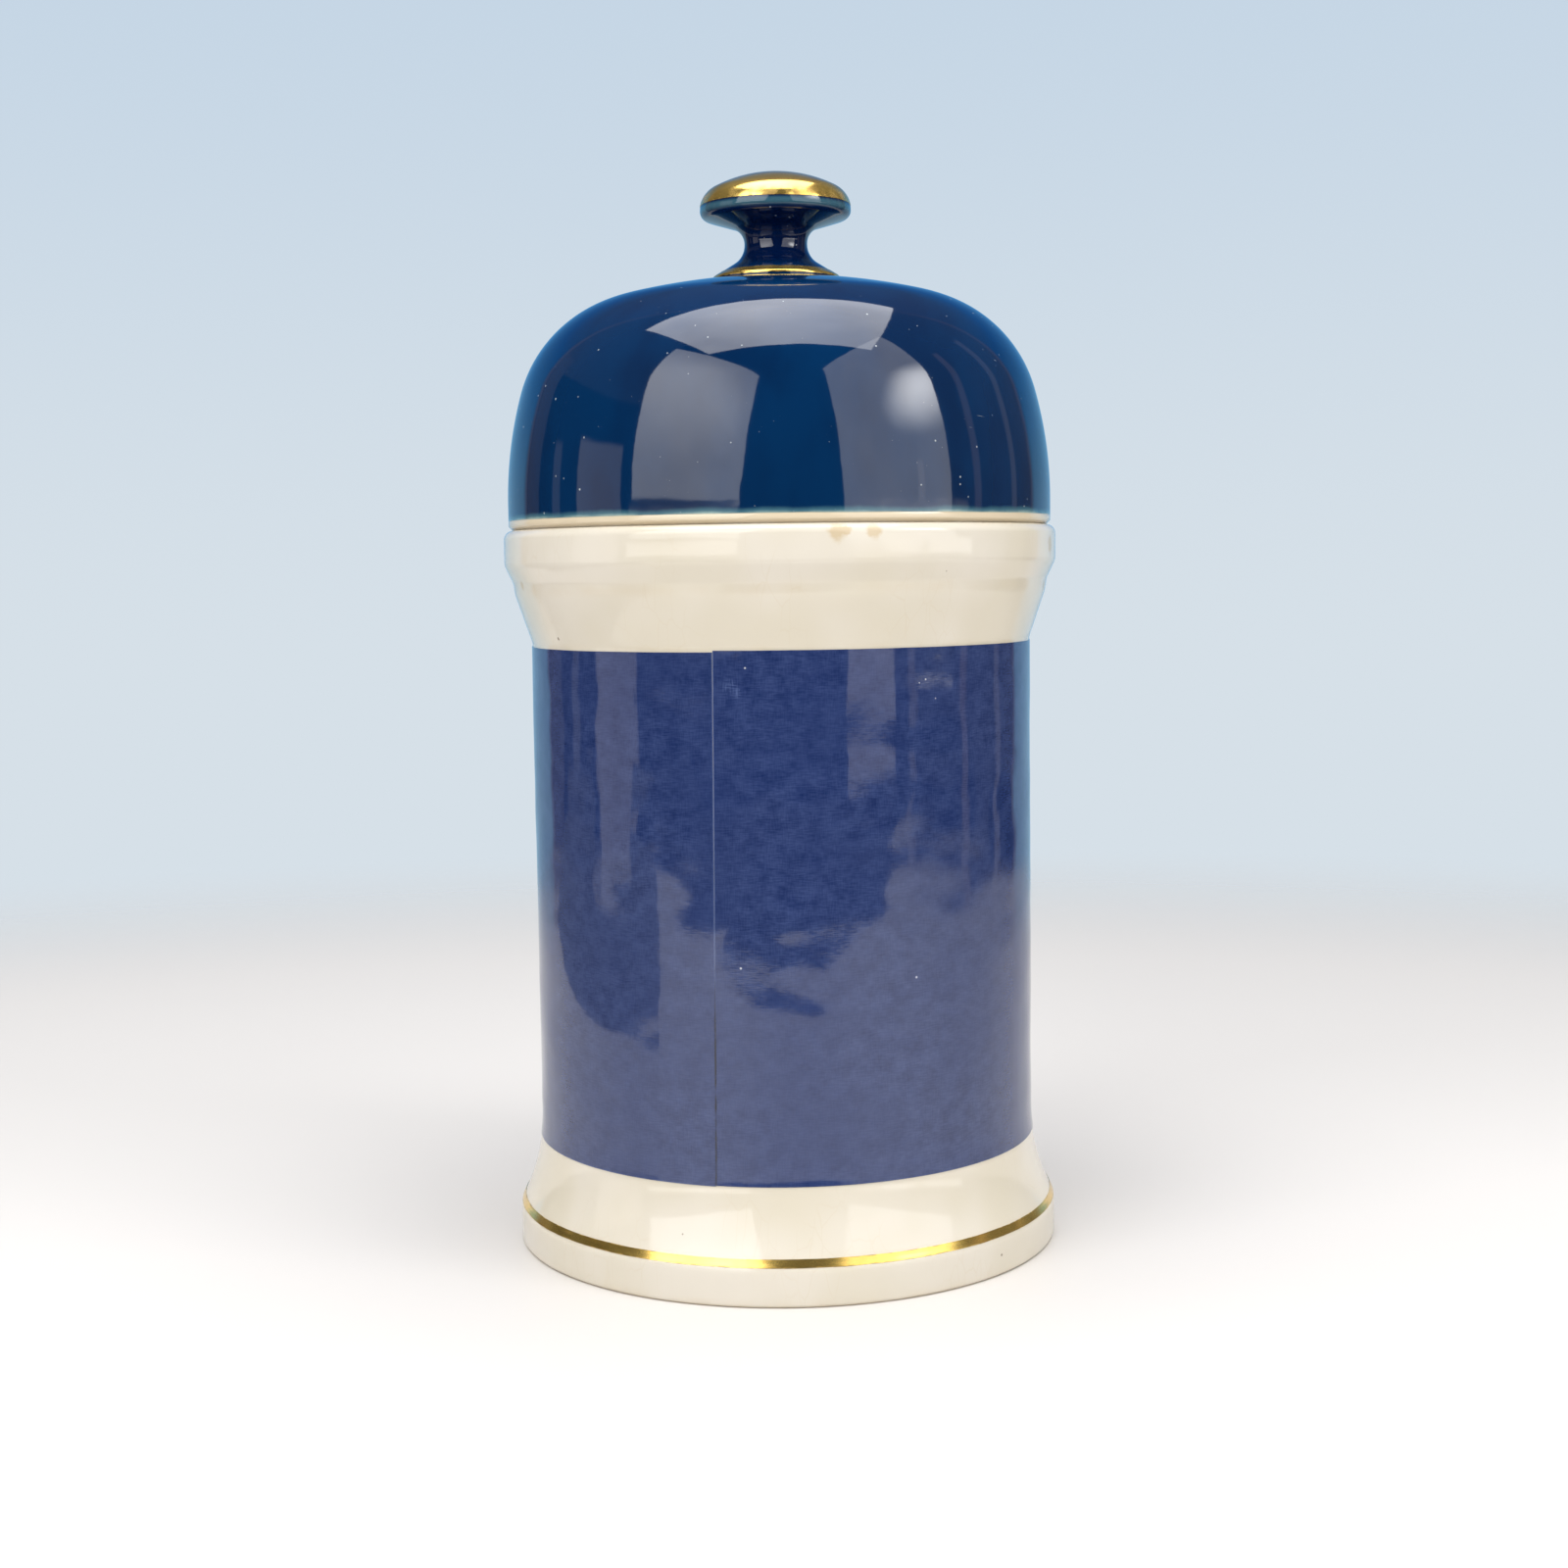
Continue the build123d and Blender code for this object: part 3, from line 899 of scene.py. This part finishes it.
printed = {
    "blue": colour(37, 52, 96),
    "deeper": colour(20, 37, 82),
    "lighter": colour(60, 75, 119),
    "scuff": colour(96, 114, 158),
    "seamDark": colour(10, 14, 34),
    "speck": colour(205, 208, 215),
    "threadLength": 1.9,
    "threadWidth": 0.26,
    "threadDepth": 0.432,
    "blotch": (4.0, 3.0, 1.0),
    "blotchDepth": 0.36,
    "patch": (26.0, 20.0, 1.0),
    "patchDepth": 0.4,
    "dust": (11.0, 0.12, 0.1, 7.0),  # spacing, radius, share and seed
    "scuffing": 0.6,  # of the seam's upper half
    "shadowAndSoiling": 0.85,  # of its lower half, a painted shadow along the tight seam as well as soil
    "edgeWear": 0.35,
    "roughness": 0.035,
    "cloudiness": 0.05,
    "ior": 1.66,
    "bumps": (0.4, 0.03),
    "smudges": [(-10.8, 114.0, 50.1, 1.9), (-9.4, 112.9, 50.1, 1.2), (160.0, 88.0, 50.1, 2.6)],
    "flecks": [
        (-7.5, 117.4, 50.1, 0.24), (-9.3, 62.4, 50.1, 0.28), (32.0, 114.6, 50.1, 0.22),
        (30.4, 114.0, 50.1, 0.16), (34.5, 111.0, 50.1, 0.2), (29.2, 59.3, 50.1, 0.3),
        (118.0, 70.0, 50.1, 0.26),
    ],
}


def bluePrint():
    finish, nodes, place = newFinish("bluePrint")
    girth = 2 * pi * jar["bodyRadius"]
    around = nodes.attribute("around")
    height = nodes.split(place).other("Z") / mm
    sheet = nodes.vector(around * (girth * mm), height * mm, 0.0)

    # book-cloth grain: threads both ways, with thick and thin places
    length = printed["threadLength"]
    width = printed["threadWidth"]
    across = nodes.cloud(sheet, (length, width, 1.0), 1.0, 1.0)
    upright = nodes.cloud(sheet, (width, length, 1.0), 2.0, 1.0)
    weave = across * 0.6 + upright * 0.4
    slubs = nodes.smooth(nodes.cloud(sheet, (7.0, 0.5, 1.0), 5.0, 2.0), 0.62, 0.8)
    grain = nodes.smooth(weave + slubs * 0.12, 0.32, 0.68)
    blotches = nodes.smooth(nodes.cloud(sheet, printed["blotch"], 3.0, 6.0), 0.33, 0.67)
    patches = nodes.smooth(nodes.cloud(sheet, printed["patch"], 9.0, 2.0), 0.35, 0.65)
    lightness = grain * printed["threadDepth"] + blotches * printed["blotchDepth"]
    tone = nodes.mix(lightness.math("MINIMUM", 1.0), printed["deeper"], printed["lighter"])
    tone = nodes.mix(patches * printed["patchDepth"], tone, printed["blue"])

    # smudges and flecks
    smudged = nodes.marks(place, printed["smudges"]) * nodes.smooth(slubs + weave, 0.4, 0.75)
    tone = nodes.mix(smudged * 0.5, tone, printed["scuff"])
    flecks = nodes.marks(place, printed["flecks"]) + nodes.specks(place, *printed["dust"])
    tone = nodes.mix(flecks.math("MINIMUM", 1.0) * 0.75, tone, printed["speck"])

    # the sheet's two ends are scuffed above; below, a dark line along them is painted shadow of the
    # tight seam as well as soil; its lower edge is worn
    end = around.math("MINIMUM", 1 - around) * girth
    broken = nodes.smooth(nodes.cloud(place, 5.0, 2.0, 3.0), 0.35, 0.55)
    scuffed = nodes.smooth(end, 0.16, 0.04) * nodes.smooth(height, 54.0, 66.0)
    seamShadowAndSoil = nodes.smooth(end, 0.3, 0.06) * nodes.smooth(height, 60.0, 48.0) * broken
    tone = nodes.mix(scuffed * printed["scuffing"], tone, printed["scuff"])
    tone = nodes.mix(seamShadowAndSoil * printed["shadowAndSoiling"], tone, printed["seamDark"])
    worn = nodes.bands(height, [(wrap["low"], 0.35)]) * broken
    tone = nodes.mix(worn * printed["edgeWear"], tone, printed["scuff"])

    dull = nodes.cloud(sheet, (9.0, 30.0, 1.0), 8.0, 3.0) * printed["cloudiness"]
    streaks = nodes.cloud(sheet, (2.4, 26.0, 1.0), 6.0, 2.0)
    relief = weave * 0.3 + streaks * 1.6 + nodes.cloud(place, 3.0, 4.0, 2.0)
    rough = printed["roughness"] + dull
    look = {"Base Color": tone, "Roughness": rough, "IOR": printed["ior"]}
    addSurface(nodes, printed, relief, look)
    return finish


glazed = {
    "blue": colour(3, 39, 76),
    "deeper": colour(3, 31, 65),
    "navy": colour(2, 22, 62),
    "teal": colour(62, 102, 116),
    "wash": colour(168, 190, 180),
    "fleck": colour(172, 180, 184),
    "navyFrom": (193.5, 196.0),  # heights between which the blue turns navy
    "thinEdge": 1.5,  # how far up from its lower edge the glaze runs thin
    "edgeWander": 1.6,
    "dust": (1.7, 0.27, 0.75, 4.0),  # spacing, radius, share and seed
    "pinholes": (3.0, 0.2, 0.4, 9.0),
    "hairTurn": (0.7, 0.5, 0.9),
    "hairSize": (0.25, 9.0, 0.25),
    "roughness": 0.03,
    "cloudiness": 0.03,
    "ior": 1.55,
    "bumps": (0.3, 0.03),
}


def blueGlaze():
    finish, nodes, place = newFinish("blueGlaze")
    height = nodes.split(place).other("Z") / mm
    flow = nodes.cloud(place, (15.0, 15.0, 30.0), 2.0, 3.0)
    tone = nodes.mix(nodes.smooth(flow, 0.35, 0.65), glazed["deeper"], glazed["blue"])
    tone = nodes.mix(nodes.smooth(height, *glazed["navyFrom"]), tone, glazed["navy"])

    # thin at the lid's lower edge; round the knob's rim the teal is thin glaze and also a painted
    # reflection of the blue backdrop
    wander = (nodes.cloud(place, 9.0, 3.0, 4.0) - 0.5) * glazed["edgeWander"]
    rise = height - lid["glazeEdge"] + wander
    thin = nodes.smooth(rise, glazed["thinEdge"], 0.5)
    thinnest = nodes.smooth(rise, 0.7, -0.3)
    rimThinAndReflected = nodes.smooth((height - knob["widest"] + 0.1).math("ABSOLUTE"), 1.1, 0.2)
    tone = nodes.mix((thin + rimThinAndReflected * 0.8).math("MINIMUM", 1.0) * 0.9, tone, glazed["teal"])
    tone = nodes.mix(thinnest, tone, glazed["wash"])

    # dust flecks, pinholes and fine scratches
    flecks = nodes.specks(place, *glazed["dust"])
    pinholes = nodes.specks(place, *glazed["pinholes"])
    sockets = {"Vector": place, "Rotation": glazed["hairTurn"]}
    tilted = nodes.add("ShaderNodeVectorRotate", sockets, rotation_type="EULER_XYZ")
    hairs = nodes.cloud(tilted, glazed["hairSize"], 6.0, 0.0)
    rare = nodes.smooth(nodes.cloud(place, 8.0, 5.0, 1.0), 0.6, 0.68)
    scratches = nodes.smooth(hairs, 0.8, 0.86) * rare
    marked = (flecks * 0.85 + scratches * 0.5).math("MINIMUM", 1.0)
    tone = nodes.mix(marked, tone, glazed["fleck"])
    dull = nodes.cloud(place, 11.0, 8.0, 3.0) * glazed["cloudiness"]
    rough = glazed["roughness"] + dull + scratches * 0.3
    relief = nodes.cloud(place, 4.0, 7.0, 1.0) * 1.2 + flecks * 0.6 - pinholes * 0.8
    look = {"Base Color": tone, "Roughness": rough, "IOR": glazed["ior"]}
    addSurface(nodes, glazed, relief, look)
    return finish


gold = {
    "bright": (0.94, 0.66, 0.18, 1.0),
    "deep": (0.80, 0.52, 0.13, 1.0),
    "rubbed": colour(118, 88, 50),
    "metallic": 0.9,
    "roughness": 0.13,
    "cloudiness": 0.06,
    "rubbedRoughness": 0.25,
    "strokes": 0.004,  # metres of brush width from one edge to the other
    "bumps": (0.15, 0.012),
}


def gilding():
    finish, nodes, place = newFinish("gilding")
    along = nodes.attribute("along")
    brushed = nodes.vector(along * gold["strokes"], 0.0, 0.0)
    strokes = nodes.cloud(brushed, (0.35, 1.0, 1.0), 3.0, 3.0)
    mottled = nodes.cloud(place, 5.0, 2.0, 2.0)
    lightness = nodes.smooth(mottled * 0.6 + strokes * 0.4, 0.35, 0.65)
    tone = nodes.mix(lightness, gold["deep"], gold["bright"])
    edge = along.math("MINIMUM", 1 - along)
    ragged = nodes.smooth(nodes.cloud(place, 2.2, 6.0, 4.0), 0.45, 0.65)
    rubbed = nodes.smooth(edge, 0.16, 0.0) * ragged
    tone = nodes.mix(rubbed * 0.8, tone, gold["rubbed"])
    rough = gold["roughness"] + mottled * gold["cloudiness"] + rubbed * gold["rubbedRoughness"]
    relief = strokes * 0.8 + nodes.cloud(place, 6.0, 5.0, 1.0)
    metallic = gold["metallic"] - rubbed * 0.4
    look = {"Base Color": tone, "Metallic": metallic, "Roughness": rough}
    addSurface(nodes, gold, relief, look)
    return finish


creamFinish = creamGlaze()
printFinish = bluePrint()
blueFinish = blueGlaze()
goldFinish = gilding()
print("finishes made")

makeJarBody(creamFinish)
makeWrapTransfer(printFinish)
makeFootGiltLine(goldFinish)
makeLidShell(creamFinish)
makeLidGlaze(blueFinish)
makeLidKnob(blueFinish)
makeKnobGilding(goldFinish)
print("jar and lid made")


table = {
    "middle": (0.0, -0.15, 0.0),
    "reach": 0.46,  # metres from its middle to where the table fades out
    "fade": 0.32,
    "paint": colour(214, 210, 206),
    "roughness": 0.55,
}


def makeCard(name, corners, finish):
    mesh = bpy.data.meshes.new(name)
    mesh.from_pydata(corners, [], [tuple(range(len(corners)))])
    mesh.materials.append(finish)
    piece = newObject(name, mesh)
    return piece


def makeTable():
    finish, nodes, place = newFinish("paleTable")
    away = nodes.vectorMaths("DISTANCE", place, table["middle"])
    faded = nodes.smooth(away, table["reach"], table["reach"] + table["fade"])
    sockets = {"Base Color": table["paint"], "Roughness": table["roughness"]}
    paint = nodes.add("ShaderNodeBsdfPrincipled", sockets)
    clear = nodes.add("ShaderNodeBsdfTransparent")
    surface = nodes.add("ShaderNodeMixShader", {0: faded, 1: paint, 2: clear})
    nodes.add("ShaderNodeOutputMaterial", {"Surface": surface})
    side = table["reach"] + table["fade"]
    front = table["middle"][1] - side
    back = table["middle"][1] + side
    corners = [(-side, front, 0.0), (side, front, 0.0), (side, back, 0.0), (-side, back, 0.0)]
    makeCard("table", corners, finish)


# Dark cards lie about the camera, seen only in the gloss: brightness, then corners in metres.

flagLift = 2 * mm
flagRoughness = 0.9
flags = {
    "frontFlag": (0.01, [
        (-1.2, -0.62), (-0.705, -0.41), (-0.372, -0.403), (-0.171, -0.412), (-0.188, -0.366),
        (-0.146, -0.355), (-0.038, -0.352), (0.102, -0.372), (0.221, -0.397), (0.361, -0.375),
        (0.567, -0.421), (1.2, -0.56), (1.2, -0.96), (-1.2, -0.96),
    ]),
    "sideFlag": (0.16, [
        (-0.44, 0.29), (-0.357, 0.204), (-0.288, 0.075), (-0.261, -0.027), (-0.236, -0.168),
        (-0.491, -0.345), (-0.72, -0.385), (-1.1, -0.40), (-0.515, -0.20), (-0.513, 0.02),
        (-1.1, 0.05), (-1.0, 0.36),
    ]),
}


def makeFlag(name, shade, corners):
    finish, nodes, place = newFinish(name)
    sockets = {"Base Color": (shade, shade, shade, 1.0), "Roughness": flagRoughness}
    surface = nodes.add("ShaderNodeBsdfPrincipled", sockets)
    nodes.add("ShaderNodeOutputMaterial", {"Surface": surface})
    flag = makeCard(name, [(x, y, flagLift) for x, y in corners], finish)
    flag.visible_camera = False
    flag.visible_diffuse = False
    flag.visible_shadow = False


# A hot spot is (place across, place up, reach, extra brightness) in shares of the box.

softboxes = {
    "leftBox": {
        "centre": (-0.461, -0.787, 0.576),
        "across": (0.44, -0.90, 0.0),
        "up": (0.26, 0.02, 0.97),
        "size": (0.907, 0.813),
        "brightness": 2.5,
        "hotSpot": (0.27, 0.6, 0.24, 0.8),
    },
    "rightBox": {
        "centre": (0.575, -0.674, 0.630),
        "across": (0.15, 0.99, 0.0),
        "up": (-0.16, -0.25, 0.96),
        "size": (0.933, 0.957),
        "brightness": 1.9,
        "hotSpot": (0.90, 0.38, 0.09, 4.4),
    },
    "topBox": {
        "centre": (-0.059, -0.145, 1.153),
        "across": (-0.20, 0.98, 0.06),
        "up": (-0.97, -0.22, 0.12),
        "size": (0.914, 1.218),
        "brightness": 4.4,
        "hotSpot": (0.5, 0.5, 0.2, 0.35),
    },
}

cloth = {
    "dimmest": 0.72,
    "creases": 0.4,
    "creaseScale": 3.0,
    "spotShape": (0.5, 1.0, 0.0),
}


def makeSoftbox(name, box):
    width, height = box["size"]
    light = bpy.data.lights.new(name, "AREA")
    light.shape = "RECTANGLE"
    light.size = width
    light.size_y = height
    light.energy = box["brightness"] * pi * width * height
    piece = newObject(name, light)
    across = Vector(box["across"]).normalized()
    back = across.cross(Vector(box["up"])).normalized()
    up = back.cross(across)
    turn = Matrix((across, up, back)).transposed().to_4x4()
    piece.matrix_world = Matrix.Translation(box["centre"]) @ turn
    piece.visible_camera = False

    # the cloth is creased, and brighter where the lamp is behind it
    light.use_nodes = True
    nodes = Nodes(light.node_tree)
    place = nodes.add("ShaderNodeNewGeometry").other("Parametric")
    spotX, spotY, reach, gain = box["hotSpot"]
    offset = nodes.vectorMaths("SUBTRACT", place, (spotX, spotY, 0.0))
    shaped = nodes.vectorMaths("MULTIPLY", offset, cloth["spotShape"])
    away = nodes.vectorMaths("LENGTH", shaped)
    sockets = {"Vector": place, "Scale": cloth["creaseScale"], "Detail": 2.0}
    creases = nodes.add("ShaderNodeTexNoise", sockets) * cloth["creases"]
    strength = cloth["dimmest"] + creases + nodes.smooth(away, reach * 2, 0.0) * gain
    shine = nodes.add("ShaderNodeEmission", {"Strength": strength})
    nodes.add("ShaderNodeOutputLight", {"Surface": shine})


room = {
    "seenLow": colour(214, 224, 232),
    "seenHigh": colour(196, 213, 229),
    "seenRise": (-0.05, 0.3),
    "backdrop": [
        (0.0, colour(160, 198, 222)),
        (0.2, colour(120, 180, 222)),
        (0.34, colour(80, 150, 212)),
        (0.55, colour(50, 108, 178)),
        (0.7, colour(74, 90, 118)),
        (1.0, colour(104, 98, 104)),
    ],
    "backdropRise": (-0.12, 0.9),
    "backdropHalf": 47.0,  # degrees each way from straight behind
    "backdropSoft": 0.03,
    "dark": (0.016, 0.016, 0.018, 1.0),
    "fill": (0.19, 0.195, 0.20, 1.0),
    "fillSides": (0.46, 0.46, 0.46, 1.0),
    "fillBehind": (0.62, 0.62, 0.63, 1.0),
    "shapes": [
        # azimuths from the front and elevations, in degrees, and brightness
        (-131.0, -60.0, 24.0, 80.0, (0.09, 0.09, 0.095)),
        (60.0, 131.0, -5.0, 80.0, (0.09, 0.09, 0.09)),
        (-92.0, -68.0, -11.0, 14.0, (0.72, 0.67, 0.65)),
        (-108.0, -103.0, -6.0, 12.0, (0.25, 0.25, 0.27)),
        (-130.0, -119.0, -16.0, 30.0, (0.13, 0.12, 0.12)),
        (30.0, 52.0, -4.6, 1.2, (1.0, 0.94, 0.90)),
        (-64.0, -17.0, -1.2, 1.2, (2.3, 2.25, 2.2)),
        (42.0, 84.0, -1.2, 1.2, (2.3, 2.25, 2.2)),
        (59.0, 62.0, -11.0, 10.0, (0.5, 0.46, 0.46)),
        (88.0, 92.0, -12.0, 40.0, (0.40, 0.33, 0.33)),
        (97.0, 109.0, -12.0, 28.0, (0.10, 0.10, 0.11)),
        (113.0, 117.0, -14.0, 40.0, (0.30, 0.28, 0.29)),
        (130.5, 133.5, -20.0, 70.0, (0.20, 0.16, 0.15)),
        (-133.5, -130.5, -20.0, 70.0, (0.20, 0.16, 0.15)),
    ],
}


def makeRoom():
    world = bpy.data.worlds.new("room")
    bpy.context.scene.world = world
    world.use_nodes = True
    nodes = Nodes(world.node_tree)
    way = nodes.split(nodes.add("ShaderNodeTexCoord").other("Generated"))
    depth = way.other("Y")
    height = way.other("Z")
    seen = nodes.mix(nodes.smooth(height, *room["seenRise"]), room["seenLow"], room["seenHigh"])

    # what the gloss mirrors: a blue backdrop behind the jar, and a dark room with pale shapes
    low, high = room["backdropRise"]
    rise = nodes.add("ShaderNodeMapRange", {"Value": height, "From Min": low, "From Max": high})
    blue = nodes.add("ShaderNodeValToRGB", {0: rise}, stops=room["backdrop"])
    heading = nodes.split(nodes.vectorMaths("NORMALIZE", nodes.vector(way, depth, 0.0)))
    edge = cos(radians(room["backdropHalf"]))
    soft = room["backdropSoft"]
    behind = nodes.smooth(heading.other("Y"), edge - soft, edge + soft)
    azimuth = nodes.maths("ARCTAN2", way, depth * -1) * degrees(1)
    elevation = height.math("ARCSINE") * degrees(1)
    lit = room["dark"]
    for left, right, bottom, top, shine in room["shapes"]:
        wide = nodes.window(azimuth, left, right, 0.4, 0.4)
        tall = nodes.window(elevation, bottom, top, 0.5, 0.8)
        lit = nodes.mix(wide * tall, lit, (*shine, 1.0))
    mirrored = nodes.mix(behind, lit, blue)

    # the soft light that falls from all round
    aside = nodes.smooth(way.math("ABSOLUTE"), 0.4, 0.95)
    fill = nodes.mix(aside, room["fill"], room["fillSides"])
    fill = nodes.mix(nodes.smooth(depth, 0.1, 0.8), fill, room["fillBehind"])
    ray = nodes.add("ShaderNodeLightPath")
    unseen = nodes.mix(ray.other("Is Glossy Ray"), fill, mirrored)
    shown = nodes.mix(ray.other("Is Camera Ray"), unseen, seen)
    surface = nodes.add("ShaderNodeBackground", {"Color": shown, "Strength": 1.0})
    nodes.add("ShaderNodeOutputWorld", {"Surface": surface})


cameraView = {
    "place": (0.00025, -0.4579, 0.1355),
    "lookDown": 5.49,
    "roll": -0.74,
    "lens": 51.84,
    "sensorWidth": 36.0,
    "nearest": 0.01,
}


def makeCamera():
    lens = bpy.data.cameras.new("camera")
    lens.lens = cameraView["lens"]
    lens.sensor_width = cameraView["sensorWidth"]
    lens.clip_start = cameraView["nearest"]
    piece = newObject("camera", lens)
    pitch = Matrix.Rotation(radians(90 - cameraView["lookDown"]), 4, "X")
    roll = Matrix.Rotation(radians(cameraView["roll"]), 4, "Z")
    piece.matrix_world = Matrix.Translation(cameraView["place"]) @ pitch @ roll
    bpy.context.scene.camera = piece


makeTable()
for name, (shade, corners) in flags.items():
    makeFlag(name, shade, corners)
for name, box in softboxes.items():
    makeSoftbox(name, box)
makeRoom()
makeCamera()
bpy.context.scene.view_settings.view_transform = "Standard"
print("table, lights and camera set")
